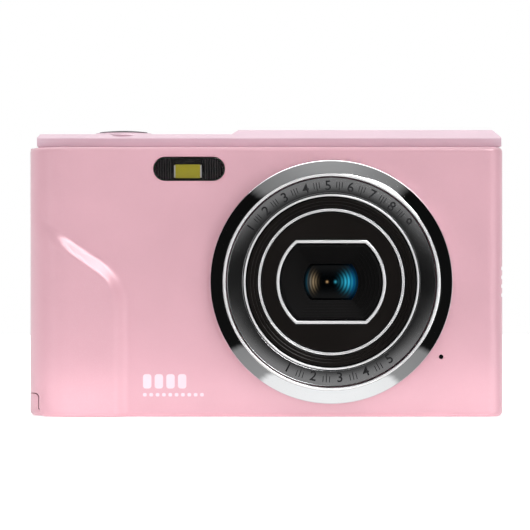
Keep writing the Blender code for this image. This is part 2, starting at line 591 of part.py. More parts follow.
def main():
    clear_scene()
    looks = {
        "pink": material("pink_plastic", (0.76, 0.42, 0.50), 0.28),
        "chrome": material("chrome_plating", (0.82, 0.82, 0.84), 0.06, 1.0),
        "ring": material("dark_ring", (0.045, 0.043, 0.048), 0.32),
        "black": material("black_plastic", (0.012, 0.011, 0.012), 0.35),
        "black_gloss": material("black_gloss", (0.006, 0.006, 0.008), 0.08),
        "glass": material("coated_glass", (0.02, 0.05, 0.09), 0.03),
        "clear": material("clear_plastic", (0.75, 0.75, 0.78), 0.08),
        "phosphor": material("phosphor", (0.85, 0.72, 0.12), 0.45),
        "steel": material("plated_steel", (0.55, 0.55, 0.57), 0.3, 1.0),
        "board": material("circuit_board", (0.02, 0.16, 0.07), 0.45),
        "chip": material("chip_resin", (0.02, 0.02, 0.02), 0.6),
        "silicon": material("sensor_silicon", (0.05, 0.06, 0.1), 0.15),
        "sheet": material("dome_sheet", (0.6, 0.6, 0.58), 0.5),
        "label": material("battery_wrap", (0.08, 0.1, 0.16), 0.4),
    }
    make_front_shell(looks["pink"])
    make_rear_shell(looks["pink"])
    make_top_cover(looks["pink"])
    make_lens(looks)
    make_flash(looks)
    make_top_buttons(looks)
    make_rear_controls(looks)
    make_electronics(looks)
    make_power_bay(looks)
    make_fasteners(looks)


main()
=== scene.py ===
"""Looks of the compact digital camera: fine shells, turned lens rings, glass, keys and soft studio light."""
import json
import math

import bmesh
import bpy
from mathutils import Matrix, Vector


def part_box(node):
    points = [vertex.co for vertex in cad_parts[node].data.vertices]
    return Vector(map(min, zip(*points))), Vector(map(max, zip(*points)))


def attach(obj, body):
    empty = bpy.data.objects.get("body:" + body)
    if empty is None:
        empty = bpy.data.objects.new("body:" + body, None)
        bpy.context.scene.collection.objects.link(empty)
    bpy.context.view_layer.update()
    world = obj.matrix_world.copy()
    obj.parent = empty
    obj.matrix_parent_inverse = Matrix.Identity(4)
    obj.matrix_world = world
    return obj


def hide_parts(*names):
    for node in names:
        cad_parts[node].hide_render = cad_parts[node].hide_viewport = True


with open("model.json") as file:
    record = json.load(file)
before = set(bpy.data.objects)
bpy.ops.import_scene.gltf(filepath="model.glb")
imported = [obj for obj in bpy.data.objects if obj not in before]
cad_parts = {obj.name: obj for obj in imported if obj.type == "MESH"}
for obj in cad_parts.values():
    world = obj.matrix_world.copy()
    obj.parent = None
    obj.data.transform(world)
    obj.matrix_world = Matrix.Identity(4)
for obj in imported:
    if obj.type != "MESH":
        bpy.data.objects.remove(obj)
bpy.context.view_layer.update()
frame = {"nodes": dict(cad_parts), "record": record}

MM = 0.001
BODY = "camera_body"


def span(node):
    """A node's low and high corners in millimetres."""
    low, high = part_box(node)
    return Vector(low) / MM, Vector(high) / MM


def middle(node):
    low, high = span(node)
    return (low + high) / 2.0


# Sizes in millimetres, placed by the frame

SHELL_LOW, SHELL_HIGH = span("front_shell")
REAR_LOW, REAR_HIGH = span("rear_shell")
HALF_WIDTH = SHELL_HIGH.x
SHELL_TOP = SHELL_HIGH.z
GRIP_RAISE = 1.6
FRONT = SHELL_LOW.y + GRIP_RAISE
BACK = REAR_HIGH.y
PARTING = REAR_LOW.y - 0.15
WALL = 1.5
EDGE = 1.0
LENS_X, LENS_Z = middle("lens_bezel").x, middle("lens_bezel").z
LENS_AXIS = (LENS_X, LENS_Z)
LENS_SEAT = -8.3
LENS_HOLE = 18.7
FLASH = middle("flash_window")
FLASH_LOW, FLASH_HIGH = span("flash_window")
FLASH_WIDTH = FLASH_HIGH.x - FLASH_LOW.x
FLASH_HEIGHT = FLASH_HIGH.z - FLASH_LOW.z
MICROPHONE = (35.4, 12.1)
OUTSIDE = 50.0

LEFT_RADIUS = 8.0
RIGHT_RADIUS = 3.5
REAR_LEFT_RADIUS = 6.0
REAR_RIGHT_RADIUS = 4.0
GRIP_EDGE_X = -27.7
GRIP_ARC = 11.0
GRIP_ARC_Z = 22.2
GRIP_SLOPE = math.radians(33.6)
GRIP_BEVEL = 3.1
GRIP_DEPTH = LEFT_RADIUS + GRIP_RAISE
DOOR_LOW, DOOR_HIGH = span("battery_door")
DOOR_TOP = 1.4
DOOR_GAP = 0.2
LIP_TOP = DOOR_HIGH.z
LIP_INNER = -46.0
LIP_RADIUS = 0.8
KEY_RADIUS = 2.5
KEYS = tuple(name + "_key" for name in
             ("up", "down", "left", "right", "ok", "menu", "playback", "delete", "mode"))
BOTTOM_SCREWS = ("bottom_screw_left", "bottom_screw_right")

# The marked ring's cone: outer radius, its depth there, its width and its rise towards the middle
CONE_OUTER, CONE_DEPTH, CONE_WIDTH, CONE_RISE = 20.9, -10.65, 3.1, 0.30
# The ring's two scales, as first angle and pitch in degrees, and count of numerals
RING_SCALES = ((146.0, -13.5, 9), (243.0, 16.0, 5))

FLOOR_RADIUS = 700.0

# The studio, in metres and watts, with the focal length in millimetres
FILL_TONE = (0.22, 0.225, 0.24)
BACKDROP_TONE = (0.85, 0.85, 0.85)
CAMERA_LENS = 200.6
CAMERA_DISTANCE = 0.60
CAMERA_AIM = (-0.0001, -0.002, 0.0306)
# Round soft panels, seen only in reflections: direction, inner and outer half angle in degrees, level
KEY_PANEL = ((0.44, -0.54, 0.72), 16.0, 22.0, 15.0)
SIDE_PANEL = ((0.80, -0.585, -0.13), 15.0, 24.0, 2.2)
# Area lights: name, place, target, width, height, power, seen in reflections
LIGHTS = (
    ("overhead_softbox", (0.0, -0.1, 1.5), (0.0, 0.0, 0.0), 2.0, 2.0, 18.0, False),
    ("front_softbox", (-0.25, -1.5, 0.45), (0.0, 0.0, 0.03), 1.5, 1.0, 3.2, False),
    ("rear_softbox", (0.0, 0.48, 1.3), (0.0, 0.0, 0.05), 2.4, 0.5, 7.0, True),
    ("left_strip", (-0.62, -0.38, 0.05), (0.0, 0.0, 0.03), 0.10, 0.5, 0.26, True),
    ("right_strip", (0.45, -0.48, 0.05), (0.0, 0.0, 0.03), 0.10, 0.5, 0.10, True),
    ("floor_bounce", (0.0, -0.0175, 0.003), (0.0, -0.0067, 0.003), 0.12, 0.005, 0.0027, False),
)


# Outlines

def arc(centre, radius, start, end, steps):
    points = []
    for index in range(steps + 1):
        angle = math.radians(start + (end - start) * index / steps)
        points.append((centre[0] + radius * math.cos(angle), centre[1] + radius * math.sin(angle)))
    return points


def circle(centre, radius, steps=128):
    return arc(centre, radius, 0.0, 360.0 * (steps - 1) / steps, steps - 1)


def quarter_turn(steps, first=0):
    """Sine and cosine at even steps over a right angle."""
    angles = [math.pi / 2 * index / steps for index in range(first, steps + 1)]
    return [(math.sin(angle), math.cos(angle)) for angle in angles]


def rounded_rectangle(low, high, radius, steps=8):
    corners = [((low[0] + radius, low[1] + radius), 180.0), ((high[0] - radius, low[1] + radius), 270.0),
               ((high[0] - radius, high[1] - radius), 0.0), ((low[0] + radius, high[1] - radius), 90.0)]
    points = []
    for centre, start in corners:
        points += arc(centre, radius, start, start + 90.0, steps)
    return points


def stadium(width, height, inset=0.0):
    """A long slot with round ends, on the flash's middle."""
    radius = height / 2 - inset
    half = width / 2 - height / 2
    return (arc((FLASH.x + half, FLASH.z), radius, -90.0, 90.0, 20)
            + arc((FLASH.x - half, FLASH.z), radius, 90.0, 270.0, 20))


def double_d(arc_radius, flat):
    """A circle with a flat at its top and at its bottom, with points along the flats too."""
    spread = math.asin(flat / arc_radius)
    half = arc_radius * math.cos(spread)
    degrees = math.degrees(spread)
    points = []
    for start, side in ((0.0, 1.0), (180.0, -1.0)):
        points += arc(LENS_AXIS, arc_radius, start - degrees, start + degrees, 28)
        points += [(LENS_X + side * half * (1 - 2 * k / 8), LENS_Z + side * flat) for k in range(1, 8)]
    return points


# Meshes, drawn in millimetres

def place(point, axis, along):
    if axis == "X":
        return (along, point[0], point[1])
    if axis == "Y":
        return (point[0], along, point[1])
    return (point[0], point[1], along)


def loft_points(loops_of_points, ring=False):
    """Join loops of points into a closed skin: capped at both ends, or joined into a ring."""
    bm = bmesh.new()
    loops = [[bm.verts.new(point) for point in points] for points in loops_of_points]
    pairs = list(zip(loops, loops[1:]))
    if ring:
        pairs.append((loops[-1], loops[0]))
    count = len(loops[0])
    for lower, upper in pairs:
        for index in range(count):
            after = (index + 1) % count
            bm.faces.new((lower[index], lower[after], upper[after], upper[index]))
    if not ring:
        bm.faces.new(list(reversed(loops[0])))
        bm.faces.new(loops[-1])
    return bm


def loft(sections, axis, ring=False):
    loops = [[place(point, axis, along) for point in outline] for outline, along in sections]
    return loft_points(loops, ring)


def prism(outline, axis, low, high):
    return loft([(outline, low), (outline, high)], axis)


def turned(profile, centre, axis="Y", ring=True, steps=160):
    return loft([(circle(centre, radius, steps), along) for radius, along in profile], axis, ring)


def centre_of(node, axis):
    """A node's middle, seen along an axis."""
    point = middle(node)
    return {"X": (point.y, point.z), "Y": (point.x, point.z), "Z": (point.x, point.y)}[axis]


def bore(node, axis, radius, low, high, steps):
    """A cylinder on a node's middle."""
    return prism(circle(centre_of(node, axis), radius, steps), axis, low, high)


def box(low, high):
    return prism([(low[0], low[1]), (high[0], low[1]), (high[0], high[1]), (low[0], high[1])], "Z",
                 low[2], high[2])


def slab(low, high, radius, edge, axis, bottom, top, steps=4):
    """A rounded plate with quarter-round rims at both faces."""
    sections = [(edge * (1 - sine), bottom + edge * (1 - cosine)) for sine, cosine in quarter_turn(steps)]
    sections += [(inset, top + bottom - along) for inset, along in reversed(sections)]
    return loft([(rounded_rectangle((low[0] + inset, low[1] + inset), (high[0] - inset, high[1] - inset),
                                    radius - inset), along) for inset, along in sections], axis)


def merge(*parts):
    """Put several bmeshes into one."""
    whole = bmesh.new()
    for part in parts:
        scratch = bpy.data.meshes.new("scratch")
        part.to_mesh(scratch)
        part.free()
        whole.from_mesh(scratch)
        bpy.data.meshes.remove(scratch)
    return whole


def piece(name, bm, surface, angle=32.0):
    """A finished object in metres, smooth except at sharp edges."""
    bmesh.ops.recalc_face_normals(bm, faces=bm.faces)
    bmesh.ops.transform(bm, matrix=Matrix.Scale(MM, 4), verts=bm.verts)
    mesh = bpy.data.meshes.new(name)
    bm.to_mesh(mesh)
    bm.free()
    mesh.shade_smooth()
    mesh.set_sharp_from_angle(angle=math.radians(angle))
    result = bpy.data.objects.new(name, mesh)
    bpy.context.scene.collection.objects.link(result)
    if surface is not None:
        mesh.materials.append(surface)
    return result


def apply_modifiers(target):
    """Keep the evaluated mesh and drop the modifiers."""
    graph = bpy.context.evaluated_depsgraph_get()
    mesh = bpy.data.meshes.new_from_object(target.evaluated_get(graph))
    target.modifiers.clear()
    target.data = mesh


def cut(target, cutters, operation="DIFFERENCE"):
    """Apply each cutter in turn and remove it."""
    for bm in cutters:
        guide = piece("cutter", bm, None)
        modifier = target.modifiers.new("cut", "BOOLEAN")
        modifier.operation = operation
        modifier.solver = "EXACT"
        modifier.object = guide
        bpy.context.view_layer.update()
        apply_modifiers(target)
        bpy.data.objects.remove(guide, do_unlink=True)


def soften(target, width, segments=3, angle=30.0):
    """Round the sharp edges left by the cuts and even out the shading of flat faces."""
    bevel = target.modifiers.new("soften", "BEVEL")
    bevel.width = width * MM
    bevel.segments = segments
    bevel.limit_method = "ANGLE"
    bevel.angle_limit = math.radians(angle)
    weighted = target.modifiers.new("weighted", "WEIGHTED_NORMAL")
    weighted.keep_sharp = True


def finish_piece(obj, slot, *nodes, body=BODY):
    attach(obj, body)
    if nodes:
        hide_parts(*nodes)


def add(name, bm, slot, *nodes, body=BODY, surface=None, angle=32.0):
    """Make a piece, in its slot's look unless a surface is given, and put it on its body."""
    finish_piece(piece(name, bm, surface or LOOKS[slot], angle), slot, *nodes, body=body)


# Materials

def shade(colour, factor):
    return tuple(channel * factor for channel in colour)


def put(tree, socket, value):
    """Link a socket to another one, or set its value; a colour may leave out its alpha."""
    if isinstance(value, bpy.types.NodeSocket):
        tree.links.new(value, socket)
    elif isinstance(value, tuple) and len(value) == 3 and len(socket.default_value) == 4:
        socket.default_value = (*value, 1.0)
    else:
        socket.default_value = value


def mix(tree, factor, first, second, blend="MIX"):
    node = tree.nodes.new("ShaderNodeMix")
    node.data_type = "RGBA"
    node.blend_type = blend
    for name, value in (("Factor", factor), ("A", first), ("B", second)):
        put(tree, node.inputs[name], value)
    return node.outputs["Result"]


class Nodes:
    """A short way to write shader nodes."""

    def __init__(self, name):
        self.material = bpy.data.materials.new(name)
        self.material.use_nodes = True
        self.tree = self.material.node_tree
        self.shader = self.tree.nodes["Principled BSDF"]
        self.coordinates = self.tree.nodes.new("ShaderNodeTexCoord").outputs["Object"]

    def link(self, source, target):
        self.tree.links.new(source, target)

    def set(self, **values):
        for key, value in values.items():
            put(self.tree, self.shader.inputs[key.replace("_", " ")], value)

    def noise(self, scale, detail=3.0, stretch=None):
        node = self.tree.nodes.new("ShaderNodeTexNoise")
        node.inputs["Scale"].default_value = scale
        node.inputs["Detail"].default_value = detail
        vector = self.coordinates
        if stretch is not None:
            mapping = self.tree.nodes.new("ShaderNodeMapping")
            mapping.inputs["Scale"].default_value = stretch
            self.link(vector, mapping.inputs["Vector"])
            vector = mapping.outputs["Vector"]
        self.link(vector, node.inputs["Vector"])
        return node.outputs["Fac"]

    def fade(self, value, start, end):
        """Black up to the start of a range and white from its end."""
        node = self.tree.nodes.new("ShaderNodeValToRGB")
        for element, position in zip(node.color_ramp.elements, (start, end)):
            element.position = position
        self.link(value, node.inputs["Fac"])
        return node.outputs["Color"]

    def math(self, operation, first, second=0.0):
        node = self.tree.nodes.new("ShaderNodeMath")
        node.operation = operation
        put(self.tree, node.inputs[0], first)
        put(self.tree, node.inputs[1], second)
        return node.outputs["Value"]

    def vector(self, operation, first, second):
        node = self.tree.nodes.new("ShaderNodeVectorMath")
        node.operation = operation
        self.link(first, node.inputs[0])
        node.inputs[1].default_value = second
        return node.outputs

    def mix(self, factor, first, second):
        return mix(self.tree, factor, first, second)

    def bump(self, height, strength, distance):
        node = self.tree.nodes.new("ShaderNodeBump")
        node.inputs["Strength"].default_value = strength
        node.inputs["Distance"].default_value = distance
        self.link(height, node.inputs["Height"])
        self.link(node.outputs["Normal"], self.shader.inputs["Normal"])

    def vary(self, pattern, amount, base):
        """A value that rises from a base by an amount with a pattern."""
        return self.math("ADD", self.math("MULTIPLY", pattern, amount), base)

    def split(self):
        node = self.tree.nodes.new("ShaderNodeSeparateXYZ")
        self.link(self.coordinates, node.inputs["Vector"])
        return node.outputs

    def radius(self):
        """Distance from the lens axis in metres."""
        offset = self.vector("SUBTRACT", self.coordinates, (LENS_X * MM, 0.0, LENS_Z * MM))["Vector"]
        flat = self.vector("MULTIPLY", offset, (1.0, 0.0, 1.0))["Vector"]
        return self.vector("LENGTH", flat, (0.0, 0.0, 0.0))["Value"]


def pearl_plastic(name, colour):
    """Pearly moulding: fine flake, a faint cloud of tone and a soft orange-peel skin."""
    n = Nodes(name)
    flake = n.noise(9000.0, 1.0)
    cloud = n.noise(60.0, 4.0)
    tone = n.mix(n.fade(cloud, 0.3, 0.7), shade(colour, 0.955), shade(colour, 1.03))
    tone = n.mix(n.math("MULTIPLY", n.fade(flake, 0.52, 0.75), 0.10), tone, (1.0, 0.9, 0.93))
    n.set(Base_Color=tone, Roughness=n.vary(cloud, 0.08, 0.32), Coat_Weight=0.55, Coat_Roughness=0.3,
          Specular_IOR_Level=0.35)
    n.bump(n.noise(2600.0, 2.0), 0.06, 0.00002)
    return n.material


def polished_chrome(name, tint=(0.88, 0.89, 0.90), roughness=0.035, metallic=1.0):
    """Bright plating with a faint smear."""
    n = Nodes(name)
    smear = n.noise(220.0, 5.0)
    n.set(Base_Color=n.mix(smear, shade(tint, 0.96), tint), Metallic=metallic,
          Roughness=n.vary(smear, 0.03, roughness))
    n.bump(n.noise(1500.0, 2.0), 0.02, 0.00001)
    return n.material


def turned_coating(name, colour, roughness, metallic, lines, strength, specular=0.5):
    """A dark ring with fine circular turning lines."""
    n = Nodes(name)
    wave = n.math("SINE", n.math("MULTIPLY", n.radius(), lines))
    cloud = n.noise(90.0, 4.0)
    n.set(Base_Color=n.mix(cloud, shade(colour, 0.75), shade(colour, 1.25)), Metallic=metallic,
          Roughness=n.vary(cloud, 0.12, roughness - 0.05), Specular_IOR_Level=specular)
    n.bump(wave, strength, 0.00001)
    return n.material


def grained_plastic(name, colour, roughness=0.45, scale=5200.0, strength=0.25, sheen=0.25):
    """Matt moulding with a fine grain; the sheen is its specular level."""
    n = Nodes(name)
    grain = n.noise(scale, 2.0)
    cloud = n.noise(120.0, 3.0)
    n.set(Base_Color=n.mix(cloud, shade(colour, 0.8), shade(colour, 1.2)),
          Roughness=n.vary(grain, 0.15, roughness - 0.07), Specular_IOR_Level=sheen)
    n.bump(grain, strength, 0.00003)
    return n.material


def brushed_metal(name, colour):
    n = Nodes(name)
    hair = n.noise(900.0, 3.0, stretch=(1.0, 1.0, 30.0))
    n.set(Base_Color=n.mix(hair, shade(colour, 0.85), colour), Metallic=1.0,
          Roughness=n.vary(hair, 0.2, 0.15))
    n.bump(hair, 0.15, 0.00002)
    return n.material


def board_material(name):
    """Green solder mask over a maze of copper tracks."""
    n = Nodes(name)
    tracks = n.tree.nodes.new("ShaderNodeTexBrick")
    tracks.inputs["Scale"].default_value = 420.0
    tracks.inputs["Mortar Size"].default_value = 0.03
    mapping = n.tree.nodes.new("ShaderNodeMapping")
    mapping.inputs["Rotation"].default_value = (math.radians(90.0), 0.0, 0.0)
    n.link(n.coordinates, mapping.inputs["Vector"])
    n.link(mapping.outputs["Vector"], tracks.inputs["Vector"])
    n.set(Base_Color=n.mix(tracks.outputs["Fac"], (0.012, 0.13, 0.05), (0.03, 0.26, 0.11)), Roughness=0.35,
          Coat_Weight=0.4)
    n.bump(tracks.outputs["Fac"], 0.3, 0.00003)
    return n.material


def screen_material(name):
    """Black display glass with a little dust."""
    n = Nodes(name)
    dust = n.noise(700.0, 5.0)
    n.set(Base_Color=n.mix(dust, (0.004, 0.004, 0.005), (0.012, 0.012, 0.015)),
          Roughness=n.vary(dust, 0.05, 0.06), Specular_IOR_Level=0.35)
    return n.material


def phosphor_material(name):
    """Yellow die with a fine grid of emitters, and a faint painted glow from emission."""
    n = Nodes(name)
    cells = n.tree.nodes.new("ShaderNodeTexVoronoi")
    cells.inputs["Scale"].default_value = 2600.0
    n.link(n.coordinates, cells.inputs["Vector"])
    tone = n.mix(cells.outputs["Distance"], (0.52, 0.46, 0.014), (0.43, 0.38, 0.012))
    # The emission is a painted glow: the die shines a little in its own colour though it is not lit as a
    # lamp
    n.set(Base_Color=tone, Roughness=0.55, Emission_Color=tone, Emission_Strength=0.12)
    return n.material


def clear_material(name):
    """Thin clear plastic."""
    n = Nodes(name)
    n.set(Base_Color=n.mix(n.noise(300.0), (0.03, 0.03, 0.03), (0.05, 0.05, 0.05)),
          Roughness=0.03, Alpha=0.14, Coat_Weight=0.5, Coat_Roughness=0.02)
    return n.material


def lens_glass(name):
    """Dark coated glass with painted reflections: emission paints warm fringes on the left, a blue glow on
    the right and two small glints on the element.
    """
    n = Nodes(name)
    split = n.split()
    across = n.math("MULTIPLY", n.math("SUBTRACT", split["X"], LENS_X * MM), 1000.0)
    height = n.math("MULTIPLY", n.math("SUBTRACT", split["Z"], LENS_Z * MM), 1000.0)

    def glow(centre, width, tall, tone, rings):
        """A soft oval patch of painted reflection, broken up by thin arcs."""
        dx = n.math("DIVIDE", n.math("SUBTRACT", across, centre), width)
        dz = n.math("DIVIDE", height, tall)
        square = n.math("ADD", n.math("MULTIPLY", dx, dx), n.math("MULTIPLY", dz, dz))
        fall = n.math("EXPONENT", n.math("MULTIPLY", square, -1.0))
        stripe = n.vary(n.math("SINE", n.math("MULTIPLY", n.radius(), rings)), 0.38, 0.62)
        return n.mix(n.math("MULTIPLY", fall, stripe), (0.0, 0.0, 0.0), tone)

    # Painted reflections: each patch is emitted colour standing in for coating reflections and glints, not
    # light from any lamp
    light = glow(3.35, 1.15, 1.5, (0.03, 0.42, 0.62), 9000.0)
    for patch in ((4.5, 0.9, 2.2, (0.0, 0.05, 0.16), 7000.0), (-3.6, 0.75, 1.5, (0.26, 0.19, 0.11), 11000.0),
                  (-4.6, 0.6, 1.8, (0.0, 0.035, 0.06), 8000.0), (-0.75, 0.22, 0.22, (0.75, 0.45, 0.2), 0.0),
                  (0.95, 0.26, 0.28, (0.05, 0.45, 0.62), 0.0)):
        light = mix(n.tree, 1.0, light, glow(*patch), "ADD")
    # The emission carries the painted reflections; the glass itself is almost black
    n.set(Base_Color=(0.001, 0.0015, 0.002), Roughness=0.03, Specular_IOR_Level=0.15,
          Emission_Color=light, Emission_Strength=1.0)
    return n.material


def wrap_material(name):
    """Plain wrapped cell with a lighter band."""
    n = Nodes(name)
    band = n.math("GREATER_THAN", n.math("SINE", n.math("MULTIPLY", n.split()["Z"], 260.0)), 0.4)
    n.set(Base_Color=n.mix(band, (0.07, 0.09, 0.15), (0.35, 0.37, 0.42)), Roughness=0.35)
    n.bump(n.noise(1500.0, 2.0), 0.1, 0.00002)
    return n.material


LOOKS = {
    "pink_plastic": pearl_plastic("pink_plastic", (0.765, 0.428, 0.492)),
    "chrome": polished_chrome("chrome"),
    "ring_coating": turned_coating("ring_coating", (0.37, 0.37, 0.375), 0.16, 1.0, 16000.0, 0.02),
    "black_plastic": grained_plastic("black_plastic", (0.006, 0.0055, 0.0055)),
    "coated_glass": lens_glass("coated_glass"),
    "clear_plastic": clear_material("clear_plastic"),
    "phosphor": phosphor_material("phosphor"),
    "screen_glass": screen_material("screen_glass"),
    "plated_steel": brushed_metal("plated_steel", (0.62, 0.62, 0.64)),
    "circuit_board": board_material("circuit_board"),
    "chip_resin": grained_plastic("chip_resin", (0.02, 0.02, 0.022), 0.6, 3000.0),
    "dome_film": grained_plastic("dome_film", (0.55, 0.55, 0.52), 0.4),
    "battery_wrap": wrap_material("battery_wrap"),
}
COVER_PEARL = pearl_plastic("cover_pearl", (0.79, 0.565, 0.645))
BROWN_PLATE = turned_coating("brown_black_plate", (0.0060, 0.0045, 0.0038), 0.30, 0.0, 9000.0, 0.03, 0.22)
BRIGHT_LINE = polished_chrome("bright_line", (0.90, 0.90, 0.90), 0.25, 0.30)
MATTE_BLACK = grained_plastic("matte_black", (0.0045, 0.0042, 0.0042), 0.6, sheen=0.06)
CROWN_GREY = grained_plastic("crown_grey", (0.055, 0.050, 0.060), 0.35)
RIB_SMOKE = grained_plastic("rib_smoke", (0.040, 0.038, 0.036), 0.5)
MARK_INK = grained_plastic("mark_ink", (0.010, 0.010, 0.011), 0.5)
PALE_INK = grained_plastic("pale_ink", (0.90, 0.70, 0.76), 0.5)
SYMBOL_INK = grained_plastic("symbol_ink", (0.88, 0.80, 0.83), 0.5)


# Shells

def grip_fill(x, z):
    """How far the grip has risen at a place: 0 outside, 1 on its face."""
    centre_x, centre_z = GRIP_EDGE_X - GRIP_ARC, GRIP_ARC_Z
    dx, dz = x - centre_x, z - centre_z
    if dz <= 0.0:
        inside = GRIP_EDGE_X - x
    elif math.atan2(dz, dx) < math.pi / 2 - GRIP_SLOPE:
        inside = GRIP_ARC - math.hypot(dx, dz)
    else:
        inside = GRIP_ARC - (dx * math.sin(GRIP_SLOPE) + dz * math.cos(GRIP_SLOPE))
    part = min(1.0, max(0.0, inside / GRIP_BEVEL))
    return 0.5 * part * part * (3.0 - 2.0 * part) + 0.5 * part


def front_columns(inset):
    """Pairs of plan points, on the plain shell and on the raised grip, from left to right."""
    pairs = []
    for index in range(33):
        angle = math.radians(180.0 + 90.0 * index / 32)
        base = (-HALF_WIDTH + LEFT_RADIUS + (LEFT_RADIUS - inset) * math.cos(angle),
                FRONT + LEFT_RADIUS + (LEFT_RADIUS - inset) * math.sin(angle))
        raised = (-HALF_WIDTH + 9.0 + (8.97 - inset) * math.cos(angle),
                  FRONT + LEFT_RADIUS + (GRIP_DEPTH - inset) * math.sin(angle))
        pairs.append((base, raised))
    start = -HALF_WIDTH + LEFT_RADIUS
    fine_end = GRIP_EDGE_X + 0.5
    for index in range(1, 33):
        x = start + (fine_end - start) * index / 32
        shift = 1.0 - index / 32
        pairs.append(((x, FRONT + inset), (x + shift, FRONT - GRIP_RAISE + inset)))
    right_start = HALF_WIDTH - RIGHT_RADIUS
    for index in range(1, 41):
        x = fine_end + (right_start - fine_end) * index / 40
        pairs.append(((x, FRONT + inset), (x, FRONT + inset)))
    for point in arc((right_start, FRONT + RIGHT_RADIUS), RIGHT_RADIUS - inset, 270.0, 360.0, 14)[1:]:
        pairs.append((point, point))
    return pairs


def heights(top_edge, bottom_edge, top, pitch=0.5):
    """Rows of a shell as (height, inset), with rounded bottom and top edges."""
    turns = quarter_turn(6)
    rows = [(bottom_edge * (1 - cosine), bottom_edge * (1 - sine)) for sine, cosine in turns]
    count = int((top - top_edge - bottom_edge) / pitch)
    for index in range(1, count):
        rows.append((bottom_edge + (top - top_edge - bottom_edge) * index / count, 0.0))
    return rows + [(top - top_edge * (1 - sine), top_edge * (1 - cosine)) for sine, cosine in turns]


def front_solid():
    loops = []
    for z, inset in heights(0.9, EDGE, SHELL_TOP):
        points = [(-HALF_WIDTH + inset, PARTING, z)]
        for base, raised in front_columns(inset):
            fill = grip_fill(base[0], z)
            x, y = (low + (high - low) * fill for low, high in zip(base, raised))
            points.append((x, y, z))
        points.append((HALF_WIDTH - inset, PARTING, z))
        loops.append(points)
    return loft_points(loops)


def front_plan(inset, back):
    edge = HALF_WIDTH - inset
    return [(-edge, back)] + [base for base, _ in front_columns(inset)] + [(edge, back)]


def rear_plan(inset, front=PARTING + 0.15):
    edge = HALF_WIDTH - inset
    left = (-HALF_WIDTH + REAR_LEFT_RADIUS, BACK - REAR_LEFT_RADIUS)
    right = (HALF_WIDTH - REAR_RIGHT_RADIUS, BACK - REAR_RIGHT_RADIUS)
    points = [(-edge, front), (edge, front)]
    points += arc(right, REAR_RIGHT_RADIUS - inset, 0.0, 90.0, 14)
    return points + arc(left, REAR_LEFT_RADIUS - inset, 90.0, 180.0, 20)


def whole_plan(inset):
    """The body's outline from above, front and rear together."""
    return [base for base, _ in front_columns(inset)] + rear_plan(inset)[2:]


def door_cutter():
    """The room for the door, its corner lip and its hinge knuckle."""
    gap = DOOR_GAP
    right = span("door_carrier")[1].x + gap
    outline = [(-OUTSIDE, -1.0), (right, -1.0), (right, 2.6), (-37.0, 2.6), (-37.0, DOOR_TOP + gap),
               (LIP_INNER + gap, DOOR_TOP + gap), (LIP_INNER + gap, LIP_TOP - 0.6)]
    outline += arc((LIP_INNER - 0.6, LIP_TOP + gap - LIP_RADIUS), LIP_RADIUS, 0.0, 90.0, 6)
    outline += [(-OUTSIDE, LIP_TOP + gap)]
    return prism(outline, "Y", DOOR_LOW.y - gap, DOOR_HIGH.y + gap)


def speaker_slots():
    parts = []
    for index in range(4):
        z = LENS_Z + (index - 1.5) * 1.8
        parts.append(prism(rounded_rectangle((-4.6, z - 0.4), (0.8, z + 0.4), 0.39), "X", 46.3, 49.0))
    return parts


def make_front_shell():
    shell = piece("front_shell_skin", front_solid(), LOOKS["pink_plastic"], 40.0)
    hollow = prism(front_plan(WALL, PARTING + 2.0), "Z", WALL, SHELL_TOP - WALL)
    outlines = (circle(LENS_AXIS, LENS_HOLE), stadium(FLASH_WIDTH + 0.3, FLASH_HEIGHT + 0.3),
                circle(MICROPHONE, 0.47, 32))
    holes = [prism(outline, "Y", FRONT - 1.0, -4.0) for outline in outlines]
    cut(shell, [hollow, merge(*holes, *speaker_slots()), door_cutter()])
    soften(shell, 0.08, 2, 55.0)
    finish_piece(shell, "pink_plastic", "front_shell")
    pit = prism(circle(MICROPHONE, 0.46, 24), "Y", FRONT + 0.25, FRONT + 0.6)
    add("microphone_mesh", pit, "black_plastic", surface=MATTE_BLACK)


def make_rear_shell():
    sections = [(rear_plan(inset), z) for z, inset in heights(0.3, EDGE, SHELL_TOP, 6.0)]
    shell = piece("rear_shell_skin", loft(sections, "Z"), LOOKS["pink_plastic"], 40.0)
    hollow = prism(rear_plan(WALL, -1.0), "Z", WALL, SHELL_TOP + 2.0)
    low, high = span("screen_window")
    recess = rounded_rectangle((low.x - 0.2, low.z - 0.2), (high.x + 0.2, high.z + 0.2), 1.2)
    view = rounded_rectangle((low.x + 4.5, low.z + 4.5), (high.x - 4.5, high.z - 4.5), 0.8)
    low, high = span("zoom_rocker")
    rocker = rounded_rectangle((low.x - 0.35, low.z - 0.3), (high.x + 0.35, high.z + 0.3), 2.75)
    holes = [prism(view, "Y", 8.0, 12.0)]
    holes += [bore(name, "Y", KEY_RADIUS + 0.2, 8.0, BACK + 1.0, 48) for name in KEYS]
    holes += [prism(rocker, "Y", 8.0, 12.0), bore("tripod_nut", "Z", 3.95, -1.0, 6.4, 64)]
    holes += [bore(name, "Z", 1.75, -1.0, 2.0, 40) for name in BOTTOM_SCREWS]
    holes += [bore("side_screw_right", "X", 1.75, start, start + 3.0, 40) for start in (-49.0, 46.0)]
    for low, high, radius in (((2.7, 10.1), (5.9, 18.3), 0.9), ((3.0, 35.0), (6.4, 42.0), 1.2)):
        holes.append(prism(rounded_rectangle(low, high, radius), "X", 45.0, 49.0))
    cut(shell, [hollow, prism(recess, "Y", 9.95, BACK + 1.0), merge(*holes), door_cutter()])
    soften(shell, 0.15, 3, 50.0)
    finish_piece(shell, "pink_plastic", "rear_shell")


